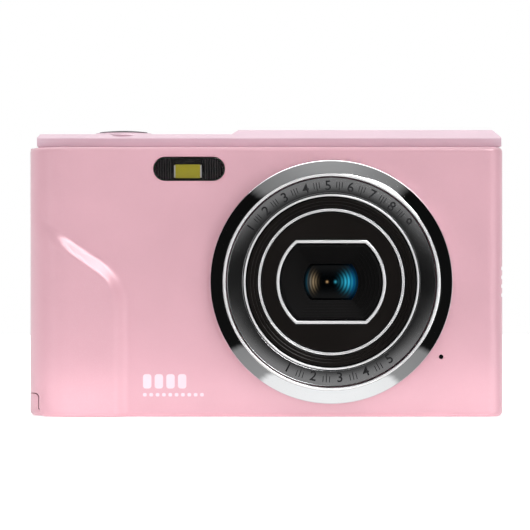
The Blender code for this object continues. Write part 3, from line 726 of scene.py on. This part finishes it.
def make_top_cover():
    """A lid with a raised stretch, sloped at its front, back and right edges."""
    low, high = span("top_cover")
    band = 56.3
    lower_top = high.z - 0.9
    step = -6.2
    rise = 2.4
    floor, ceiling = 53.0, 60.0
    front_view = [(low.x, low.z), (HALF_WIDTH, low.z), (HALF_WIDTH, band + 0.1), (HALF_WIDTH - 1.8, high.z),
                  (step + 0.7, high.z), (step - 0.7, lower_top), (low.x + 0.6, lower_top),
                  (low.x, band + 0.2)]
    side_view = [(low.y, floor), (high.y, floor), (high.y, band), (high.y - rise, high.z + 0.05),
                 (low.y + rise, high.z + 0.05), (low.y, band)]
    cover = piece("top_cover_skin", prism(front_view, "Y", -8.0, 12.0), COVER_PEARL, 25.0)
    cut(cover, [prism(whole_plan(0.12), "Z", floor, ceiling), prism(side_view, "X", -OUTSIDE, OUTSIDE)],
        "INTERSECT")
    holes = merge(bore("shutter_collar", "Z", 5.3, floor, ceiling, 96),
                  bore("power_button", "Z", 2.6, floor, ceiling, 64))
    seat = bore("shutter_collar", "Z", 6.1, 56.88, ceiling, 96)
    cut(cover, [box((-44.5, low.y + WALL, floor), (46.3, 9.4, 55.7)), holes, seat])
    soften(cover, 0.22, 4, 24.0)
    finish_piece(cover, "pink_plastic", "top_cover")
    rib = box((low.x + 0.3, low.y + 0.12, SHELL_TOP - 0.02), (HALF_WIDTH - 0.9, low.y + 1.2, low.z + 0.02))
    add("cover_seam_rib", rib, "pink_plastic", surface=COVER_PEARL)


def make_door():
    """The sliding door: a plate along the base with a lip that closes the left corner."""
    outline = [(-OUTSIDE, 0.1), (DOOR_HIGH.x, 0.1), (DOOR_HIGH.x, DOOR_TOP), (LIP_INNER, DOOR_TOP)]
    outline += arc((LIP_INNER - LIP_RADIUS, LIP_TOP - LIP_RADIUS), LIP_RADIUS, 0.0, 90.0, 8)
    outline += [(-OUTSIDE, LIP_TOP)]
    plate = prism(outline, "Y", DOOR_LOW.y, DOOR_HIGH.y)
    door = piece("battery_door_skin", plate, LOOKS["pink_plastic"], 30.0)
    sections = [(whole_plan(0.9 * (1 - sine)), 0.05 + 0.9 * (1 - cosine))
                for sine, cosine in quarter_turn(6)]
    sections.append((whole_plan(0.0), 6.0))
    cut(door, [loft(sections, "Z")], "INTERSECT")
    grooves = [box((-26.0 + 1.4 * index, -2.4, -1.0), (-25.5 + 1.4 * index, 4.0, 0.35))
               for index in range(5)]
    cut(door, [merge(*grooves)])
    soften(door, 0.1, 2, 40.0)
    finish_piece(door, "pink_plastic", "battery_door", body="door")


# Lens

def rounded_profile(points, radius=0.12, steps=4):
    """Round each corner of a closed profile."""
    result = []
    count = len(points)
    for index in range(count):
        before = Vector(points[index - 1])
        here = Vector(points[index])
        after = Vector(points[(index + 1) % count])
        to_before = before - here
        to_after = after - here
        reach = min(radius, to_before.length * 0.45, to_after.length * 0.45)
        start = here + to_before.normalized() * reach
        end = here + to_after.normalized() * reach
        for step in range(steps + 1):
            t = step / steps
            result.append(tuple(start * (1 - t) ** 2 + here * 2 * t * (1 - t) + end * t ** 2))
    return result


def lens_ring(name, nodes, slot, surface, radius, profile, steps=192):
    """A turned ring on the lens axis, from (radius, depth) pairs with rounded corners."""
    add(name, turned(rounded_profile(profile, radius), LENS_AXIS, steps=steps), slot, *nodes,
        surface=surface, angle=60.0)


def make_lens_rings():
    seat = LENS_SEAT
    lens_ring("lens_bezel_plated", ["lens_bezel"], "chrome", LOOKS["chrome"], 0.15,
              [(24.5, -7.0), (24.5, -8.9), (24.3, -9.2), (23.4, -10.0), (22.5, -10.75), (21.75, -11.35),
               (21.6, -11.35), (21.2, -11.2), (21.2, -7.0)], 256)
    lens_ring("lens_mark_ring_turned", ["lens_mark_ring"], "ring_coating", LOOKS["ring_coating"], 0.12,
              [(CONE_OUTER, seat), (CONE_OUTER, CONE_DEPTH), (17.8, -10.95), (17.8, seat)])
    lens_ring("lens_bezel_bright_rim", [], "chrome", BRIGHT_LINE, 0.24,
              [(21.72, -10.9), (21.72, -11.48), (21.2, -11.48), (21.2, -10.9)])
    lens_ring("lens_trim_ring_plated", ["lens_trim_ring"], "chrome", BRIGHT_LINE, 0.16,
              [(17.6, seat), (17.6, -11.0), (17.2, -11.0), (17.2, seat)])
    lens_ring("lens_step_ring_turned", ["lens_step_ring"], "black_plastic", BROWN_PLATE, 0.08,
              [(16.85, seat), (16.85, -10.7), (16.2, -10.7), (16.2, -10.35), (15.55, -10.35), (15.55, -10.0),
               (14.95, -10.0), (14.95, seat)])
    lens_ring("lens_inner_ring_plated", ["lens_inner_ring"], "chrome", BRIGHT_LINE, 0.04,
              [(14.7, seat), (14.7, -10.1), (14.55, -10.1), (14.48, -9.8), (14.4, -9.8), (14.33, -10.1),
               (14.2, -10.1), (14.2, seat)])


def make_lens_window():
    """The plate with its double-D window and trim, the stepped baffle behind it and the front element."""
    plate = piece("lens_face_plate_turned", prism(circle(LENS_AXIS, 13.95, 160), "Y", -9.7, LENS_SEAT),
                  BROWN_PLATE)
    cut(plate, [prism(double_d(11.1, 8.5), "Y", -11.0, -7.0)])
    soften(plate, 0.1, 3)
    finish_piece(plate, "black_plastic", "lens_face_plate")

    profile = rounded_profile([(0.0, LENS_SEAT), (0.0, -9.9), (0.6, -9.9), (0.6, LENS_SEAT)], 0.25)
    trim = loft([(double_d(11.0 - inset, 8.4 - inset), along) for inset, along in profile], "Y", ring=True)
    add("lens_window_trim_plated", trim, "chrome", "lens_window_trim", surface=BRIGHT_LINE, angle=50.0)

    back, front = -5.5, -9.5
    sections = [(double_d(10.1, 7.5), along) for along in (back, front)]
    for step in range(7):
        share = step / 6.0
        outline = double_d(9.6 - 4.1 * share, 7.0 - 3.35 * share)
        depth = front + 3.4 * share
        sections += [(outline, depth), (outline, depth + 0.42)]
    sections.append((double_d(5.5, 3.65), back))
    add("lens_baffle_moulded", loft(sections, "Y", ring=True), "black_plastic", "lens_baffle",
        surface=MATTE_BLACK, angle=25.0)

    radii = [0.05 + 7.9 * index / 24 for index in range(25)]
    dome = [(radius, -5.1 + 0.0195 * radius * radius) for radius in radii] + [(8.0, -3.0), (0.05, -3.0)]
    add("front_element_polished", turned(dome, LENS_AXIS, ring=False, steps=96), "coated_glass",
        "front_element")


def ring_face(radius):
    """Depth of the marked ring's cone at a radius."""
    return CONE_DEPTH - CONE_RISE * (CONE_OUTER - radius) / CONE_WIDTH


def ring_marks():
    """Generic graduations engraved along the upper and lower stretch of the ring."""
    parts = []

    def stroke(angle, inner, outer, width):
        direction = Vector((math.cos(angle), math.sin(angle)))
        sideways = Vector((-direction.y, direction.x)) * width / 2
        corners = [direction * inner - sideways, direction * outer - sideways,
                   direction * outer + sideways, direction * inner + sideways]
        outline = [(LENS_X + point.x, LENS_Z + point.y) for point in corners]
        outer_face, inner_face = ring_face(outer), ring_face(inner)
        parts.append(loft_points([[(x, level + rise, z) for (x, z), level in
                                   zip(outline, (inner_face, outer_face, outer_face, inner_face))]
                                  for rise in (-0.02, 0.15)]))

    for start, pitch, count in RING_SCALES:
        for index in range(count - 1):
            for share in (0.38, 0.5, 0.62):
                angle = math.radians(start + pitch * (index + share))
                stroke(angle, 18.45 if share == 0.5 else 18.9, 20.1, 0.16)
    add("ring_graduations", merge(*parts), "ring_coating", surface=MARK_INK, angle=30.0)


def ring_numerals():
    """Plain numerals between the long graduations, bent to the ring."""
    places = []
    for (start, pitch, count), sense in zip(RING_SCALES, (1.0, -1.0)):
        for index in range(count):
            places.append((str(index + 1), start + pitch * index, sense))
    slope = math.atan2(CONE_RISE, CONE_WIDTH)
    for index, (text, degrees, sense) in enumerate(places):
        curve = bpy.data.curves.new("numeral", "FONT")
        curve.body = text
        curve.size = 2.75 * MM
        curve.extrude = 0.05 * MM
        curve.offset = 0.03 * MM
        curve.align_x = "CENTER"
        curve.align_y = "CENTER"
        source = bpy.data.objects.new("numeral", curve)
        bpy.context.scene.collection.objects.link(source)
        bpy.context.view_layer.update()
        mesh = bpy.data.meshes.new_from_object(source.evaluated_get(bpy.context.evaluated_depsgraph_get()))
        bpy.data.objects.remove(source, do_unlink=True)
        angle = math.radians(degrees)
        turn = Matrix.Rotation(angle - math.pi / 2 * sense, 4, "Y").inverted()
        upright = Matrix.Rotation(math.pi / 2 - slope * sense, 4, "X")
        reach = 19.25
        spot = Matrix.Translation(Vector((LENS_X + reach * math.cos(angle), ring_face(reach) + 0.02,
                                          LENS_Z + reach * math.sin(angle))) * MM)
        mesh.transform(spot @ turn @ upright)
        mesh.materials.clear()
        mesh.materials.append(MARK_INK)
        numeral = bpy.data.objects.new(f"ring_numeral_{index}", mesh)
        bpy.context.scene.collection.objects.link(numeral)
        finish_piece(numeral, "ring_coating")


# Flash

def make_flash():
    """A clear window over a ribbed dark well, with a yellow die on its bright carrier."""
    width, height = FLASH_WIDTH, FLASH_HEIGHT
    window = [(stadium(width, height, inset), along) for inset, along in
              ((0.0, -5.95), (0.0, -6.5), (0.06, -6.62), (0.2, -6.68))]
    add("flash_window_clear", loft(window, "Y"), "clear_plastic", "flash_window")
    low, high = span("flash_led")
    pitch = 0.5
    count = int(width / pitch)
    reach = height / 2 - 0.25
    ribs = []
    for index in range(count):
        x = FLASH.x + (index - (count - 1) / 2) * pitch
        if low.x - 0.7 < x < high.x + 0.7:
            continue
        over = max(0.0, abs(x - FLASH.x) - (width - height) / 2)
        half = math.sqrt(max(0.05, reach * reach - over * over))
        section = [(x - 0.13, -5.3), (x - 0.05, -5.62), (x + 0.05, -5.62), (x + 0.13, -5.3)]
        ribs.append(prism(section, "Z", FLASH.z - half, FLASH.z + half))
    add("flash_rib_comb", merge(*ribs), "black_plastic", surface=RIB_SMOKE, angle=20.0)
    backing = prism(stadium(width - 0.3, height - 0.3), "Y", -5.05, -4.95)
    add("flash_backing", backing, "black_plastic", surface=MATTE_BLACK)
    carrier = slab((low.x - 0.3, low.z + 0.1), (high.x + 0.3, high.z - 0.1), 0.12, 0.05, "Y", -5.35, -5.08)
    add("flash_die_carrier", carrier, "chrome", surface=BRIGHT_LINE)
    die = slab((low.x, low.z), (high.x, high.z), 0.1, 0.04, "Y", low.y, low.y + 0.18)
    add("flash_die", die, "phosphor", "flash_led")
    face, foot = FRONT - 0.10, FRONT + 0.3
    rim = rounded_profile([(-0.02, face), (-0.02, foot), (0.14, foot), (0.14, face)], 0.07)
    edge = loft([(stadium(width + 0.34, height + 0.34, -inset), along) for inset, along in rim], "Y", True)
    add("flash_rim", edge, "pink_plastic", angle=50.0)


# Buttons and keys

def button_cap(name, node, body, radius, top, dome, foot, lug):
    """A round cap with a domed face, a foot and the lug that holds it under the cover."""
    x, y = centre_of(node, "Z")
    bottom = 55.7
    edge = 0.35
    flat = radius - edge
    side = top - dome - edge
    profile = [(foot, span(node)[0].z), (foot, bottom), (radius - 0.1, bottom), (radius, bottom + 0.1),
               (radius, side)]
    profile += [(radius - edge * (1 - cosine), side + edge * sine) for sine, cosine in quarter_turn(5, 1)]
    for index in range(1, 9):
        r = flat * (1 - index / 8.4)
        profile.append((r, top - dome * (r / flat) ** 2))
    cap = piece(name, turned(profile, (x, y), "Z", ring=False, steps=80), LOOKS["pink_plastic"], 50.0)
    finish_piece(cap, "pink_plastic", node, body=body)
    cut(cap, [box((x - lug[0], y - lug[1], 54.95), (x + lug[0], y + lug[1], 55.4))], "UNION")


def make_buttons():
    top = span("shutter_button")[1].z
    button_cap("shutter_cap", "shutter_button", "shutter", 5.0, top - 0.12, 0.3, 1.5, (6.2, 1.6))
    crown = [(4.85, top - 0.5)]
    for step in range(13):
        share = 1 - step / 12.3
        crown.append((4.9 * share, top - 0.32 * share ** 2 - 0.01))
    crown.append((0.1, top - 0.4))
    add("shutter_crown", turned(crown, centre_of("shutter_button", "Z"), "Z", ring=False, steps=96),
        "black_plastic", body="shutter", surface=CROWN_GREY, angle=50.0)
    low, high = span("shutter_collar")
    section = rounded_profile([(6.09, low.z), (6.09, low.z + 0.2), (5.7, high.z - 0.02),
                               (5.48, high.z - 0.1), (5.48, low.z)], 0.1)
    add("shutter_collar_ring", turned(section, centre_of("shutter_collar", "Z"), "Z", steps=96),
        "pink_plastic", "shutter_collar", surface=COVER_PEARL, angle=50.0)
    top = span("power_button")[1].z
    button_cap("power_cap", "power_button", "power", 2.4, top, 0.12, 1.2, (3.3, 1.3))
    mark = rounded_profile([(0.95, top - 0.06), (0.95, top - 0.01), (0.72, top - 0.01), (0.72, top - 0.06)],
                           0.02, 2)
    add("power_mark", turned(mark, centre_of("power_button", "Z"), "Z", steps=40), "pink_plastic",
        body="power", surface=SYMBOL_INK)


def symbol(node, outlines):
    """A shallow printed mark on a key's face."""
    centre = middle(node)
    top = span(node)[1].y
    parts = [prism([(centre.x + x, centre.z + z) for x, z in outline], "Y", top - 0.1, top - 0.005)
             for outline in outlines]
    add(node + "_mark", merge(*parts), "pink_plastic", body=key_body(node), surface=SYMBOL_INK, angle=20.0)


def triangle(direction, size=0.8):
    return [(size * math.cos(direction + turn), size * math.sin(direction + turn))
            for turn in (0.0, math.radians(120.0), math.radians(240.0))]


def bar(low_x, low_z, high_x, high_z):
    return [(low_x, low_z), (high_x, low_z), (high_x, high_z), (low_x, high_z)]


def key_body(name):
    return name.replace("_key", "") + "_button_body"


def make_keys():
    shank = KEY_RADIUS - 0.02
    edge = 0.3
    for name in KEYS:
        low, high = span(name)
        side = high.y - 0.4
        profile = [(3.2, low.y), (3.2, low.y + 0.5), (shank, low.y + 0.55), (shank, side)]
        profile += [(KEY_RADIUS - edge * (1 - cosine), side + edge * sine)
                    for sine, cosine in quarter_turn(5, 1)]
        for index in range(1, 7):
            r = (KEY_RADIUS - edge) * (1 - index / 6.3)
            profile.append((r, high.y - 0.1 - 0.05 * (1 - r / KEY_RADIUS)))
        add(name + "_cap", turned(profile, centre_of(name, "Y"), ring=False, steps=64), "pink_plastic", name,
            body=key_body(name), angle=50.0)
    quarter = math.pi / 2
    marks = {
        "up_key": [triangle(quarter)],
        "down_key": [triangle(-quarter)],
        "left_key": [triangle(math.pi)],
        "right_key": [triangle(0.0)],
        "ok_key": [circle((0.0, 0.0), 0.6, 24)],
        "menu_key": [bar(-0.9, z - 0.12, 0.9, z + 0.12) for z in (-0.6, 0.0, 0.6)],
        "playback_key": [triangle(math.pi, 1.0)],
        "delete_key": [bar(-0.6, -0.9, 0.6, 0.35), bar(-0.85, 0.5, 0.85, 0.72)],
        "mode_key": [bar(x, z, x + 0.75, z + 0.75) for z in (-0.85, 0.1) for x in (-0.85, 0.1)],
    }
    for name, outlines in marks.items():
        symbol(name, outlines)


def make_rocker():
    low, high = span("zoom_rocker")
    cap = slab((low.x, low.z), (high.x, high.z), 2.48, 0.5, "Y", low.y, high.y, 6)
    rocker = piece("zoom_rocker_cap", cap, LOOKS["pink_plastic"], 50.0)
    dip = arc((middle("zoom_rocker").x, high.y + 9.2), 9.5, 180.0, 360.0, 64)
    cut(rocker, [prism(dip, "Z", low.z - 1.0, high.z + 1.0)])
    soften(rocker, 0.12, 3, 25.0)
    finish_piece(rocker, "pink_plastic", "zoom_rocker", body="zoom")


def make_screen():
    low, high = span("screen_window")
    glass = slab((low.x, low.z), (high.x, high.z), 1.0, 0.12, "Y", low.y, high.y)
    add("screen_window_glass", glass, "screen_glass", "screen_window", angle=50.0)
    face = grained_plastic("screen_active_area", (0.022, 0.024, 0.028), 0.25, 9000.0, 0.02)
    area = slab((low.x + 3.0, low.z + 2.6), (high.x - 3.0, high.z - 2.6), 0.3, 0.005, "Y",
                high.y - 0.02, high.y + 0.012)
    add("screen_active_area", area, "screen_glass", surface=face)


# Fasteners, connector and front print

def make_small_parts():
    for name in BOTTOM_SCREWS:
        x, y = centre_of(name, "Z")
        low, high = span(name)
        profile = [(0.35, low.z + 0.3), (0.36, low.z + 0.02), (1.35, low.z + 0.02), (1.5, low.z + 0.14),
                   (1.5, low.z + 0.45), (0.9, low.z + 0.9), (0.9, high.z)]
        screw = piece(name + "_turned", turned(profile, (x, y), "Z", ring=False, steps=48),
                      LOOKS["plated_steel"])
        cut(screw, [box((x - wide, y - deep, -1.0), (x + wide, y + deep, low.z + 0.3))
                    for wide, deep in ((0.85, 0.17), (0.17, 0.85))])
        finish_piece(screw, "plated_steel", name)

    low, high = span("tripod_nut")
    profile = [(3.75, high.z), (3.75, low.z + 0.25), (3.6, low.z), (3.25, low.z)]
    profile += [(3.06 if index % 2 else 3.24, low.z + 0.15 + 0.33 * index) for index in range(15)]
    profile.append((0.2, low.z + 5.0))
    nut = turned(profile, centre_of("tripod_nut", "Z"), "Z", ring=False, steps=64)
    add("tripod_nut_threaded", nut, "plated_steel", "tripod_nut", angle=30.0)

    low, high = span("strap_bar")
    profile = [(0.4, low.z), (0.6, low.z + 0.15), (0.6, high.z - 0.15), (0.4, high.z)]
    pin = turned(profile, centre_of("strap_bar", "Z"), "Z", ring=False, steps=40)
    add("strap_bar_pin", pin, "plated_steel", "strap_bar")

    low, high = span("usb_connector")
    tongue = slab((low.y + 1.05, low.z + 1.3), (low.y + 1.6, high.z - 1.3), 0.2, 0.05, "X",
                  low.x + 0.9, high.x - 0.6)
    add("usb_tongue", tongue, "black_plastic")


def make_front_print():
    """A generic pale print low on the front: a row of short rounded blocks over a thin dotted line."""
    parts = []
    left = -24.7
    for count, pitch, width, low, high, radius, steps in ((4, 2.35, 1.7, 5.7, 8.6, 0.55, 4),
                                                          (10, 1.28, 0.75, 4.1, 4.8, 0.25, 3)):
        for index in range(count):
            x = left + pitch * index
            outline = rounded_rectangle((x, low), (x + width, high), radius, steps)
            parts.append(prism(outline, "Y", FRONT - 0.012, FRONT + 0.1))
    add("front_print", merge(*parts), "pink_plastic", surface=PALE_INK)


def dress_remaining_nodes():
    """Give every CAD node that stays visible the procedural material of its slot."""
    slots = {entry["node"]: entry["material_slot"] for entry in frame["record"]["subparts"]}
    for name, obj in frame["nodes"].items():
        surface = LOOKS[slots[name]]
        obj.data.materials.clear()
        obj.data.materials.append(surface)


# Stage

def make_floor():
    """A white paper disc just under the camera; its faint glow keeps the shadow pale."""
    disc = [(0.05, -0.02), (FLOOR_RADIUS, -0.02), (FLOOR_RADIUS, -3.0), (0.05, -3.0)]
    floor = piece("floor", turned(disc, (0.0, 0.0), "Z", ring=False, steps=96), None)
    n = Nodes("floor_paper")
    n.set(Base_Color=n.mix(n.noise(40.0, 4.0), (0.93, 0.93, 0.93), (0.96, 0.96, 0.96)), Roughness=0.9,
          Emission_Color=(1.0, 1.0, 1.0), Emission_Strength=0.42)
    floor.data.materials.append(n.material)
    floor.visible_glossy = False


def area_light(name, location, target, width, height, energy, glossy):
    data = bpy.data.lights.new(name, "AREA")
    data.shape = "RECTANGLE"
    data.size = width
    data.size_y = height
    data.energy = energy
    lamp = bpy.data.objects.new(name, data)
    lamp.location = location
    lamp.rotation_euler = (Vector(target) - Vector(location)).to_track_quat("-Z", "Y").to_euler()
    lamp.visible_camera = False
    lamp.visible_glossy = glossy
    bpy.context.scene.collection.objects.link(lamp)


def make_world():
    """White to the camera, an even fill for diffuse light and a studio pattern for reflections."""
    world = bpy.data.worlds.new("studio")
    world.use_nodes = True
    bpy.context.scene.world = world
    tree = world.node_tree
    background = tree.nodes["Background"]
    path = tree.nodes.new("ShaderNodeLightPath")
    direction = tree.nodes.new("ShaderNodeTexCoord")
    split = tree.nodes.new("ShaderNodeSeparateXYZ")
    tree.links.new(direction.outputs["Generated"], split.inputs["Vector"])

    def ramp(value, stops):
        """Grey levels along one component of the direction, from -1 to 1."""
        half = tree.nodes.new("ShaderNodeMath")
        half.operation = "MULTIPLY_ADD"
        half.inputs[1].default_value = 0.5
        half.inputs[2].default_value = 0.5
        tree.links.new(value, half.inputs[0])
        node = tree.nodes.new("ShaderNodeValToRGB")
        tree.links.new(half.outputs["Value"], node.inputs["Fac"])
        elements = node.color_ramp.elements
        while len(elements) < len(stops):
            elements.new(0.5)
        for element, (position, level) in zip(elements, stops):
            element.position = position * 0.5 + 0.5
            element.color = (level, level, level, 1.0)
        return node.outputs["Color"]

    around = ramp(split.outputs["Z"], [(-1.0, 1.0), (-0.84, 0.92), (-0.81, 0.32), (-0.60, 0.26),
                                       (-0.56, 0.006), (0.74, 0.004), (0.80, 0.20), (0.92, 0.27),
                                       (1.0, 0.36)])
    ahead = ramp(split.outputs["Z"], [(-0.7, 0.6), (-0.22, 0.52), (-0.14, 0.17), (-0.07, 0.002),
                                      (0.07, 0.002), (0.14, 0.17), (0.22, 0.47), (0.8, 0.4)])
    facing = ramp(split.outputs["Y"], [(-0.93, 1.0), (-0.70, 0.0)])
    behind = ramp(split.outputs["Y"], [(0.05, 0.0), (0.40, 1.0)])
    studio = mix(tree, behind, mix(tree, facing, around, ahead), BACKDROP_TONE)

    def panel(below, towards, inner, outer, level):
        """Add a round soft panel to the reflections."""
        aligned = tree.nodes.new("ShaderNodeVectorMath")
        aligned.operation = "DOT_PRODUCT"
        tree.links.new(direction.outputs["Generated"], aligned.inputs[0])
        aligned.inputs[1].default_value = Vector(towards).normalized()
        soft = tree.nodes.new("ShaderNodeMapRange")
        soft.interpolation_type = "SMOOTHSTEP"
        soft.inputs["From Min"].default_value = math.cos(math.radians(outer))
        soft.inputs["From Max"].default_value = math.cos(math.radians(inner))
        soft.inputs["To Max"].default_value = level
        tree.links.new(aligned.outputs["Value"], soft.inputs["Value"])
        return mix(tree, 1.0, below, soft.outputs["Result"], "ADD")

    studio = panel(panel(studio, *KEY_PANEL), *SIDE_PANEL)
    colour = mix(tree, path.outputs["Is Glossy Ray"], FILL_TONE, studio)
    colour = mix(tree, path.outputs["Is Camera Ray"], colour, (1.0, 1.0, 1.0))
    tree.links.new(colour, background.inputs["Color"])


def make_camera():
    """A level telephoto view, straight on to the front."""
    data = bpy.data.cameras.new("view")
    data.lens = CAMERA_LENS
    data.sensor_width = 36.0
    data.clip_start = 0.01
    camera = bpy.data.objects.new("view", data)
    aim = Vector(CAMERA_AIM)
    camera.location = aim + Vector((0.0, -CAMERA_DISTANCE, 0.0))
    camera.rotation_euler = (aim - camera.location).to_track_quat("-Z", "Y").to_euler()
    bpy.context.scene.collection.objects.link(camera)
    bpy.context.scene.camera = camera
    bpy.context.scene.view_settings.view_transform = "Standard"


make_camera()
dress_remaining_nodes()
make_front_shell()
make_rear_shell()
make_top_cover()
make_door()
make_lens_rings()
make_lens_window()
ring_marks()
ring_numerals()
make_flash()
make_buttons()
make_keys()
make_rocker()
make_screen()
make_small_parts()
make_front_print()
make_floor()
make_world()
for light in LIGHTS:
    area_light(*light)
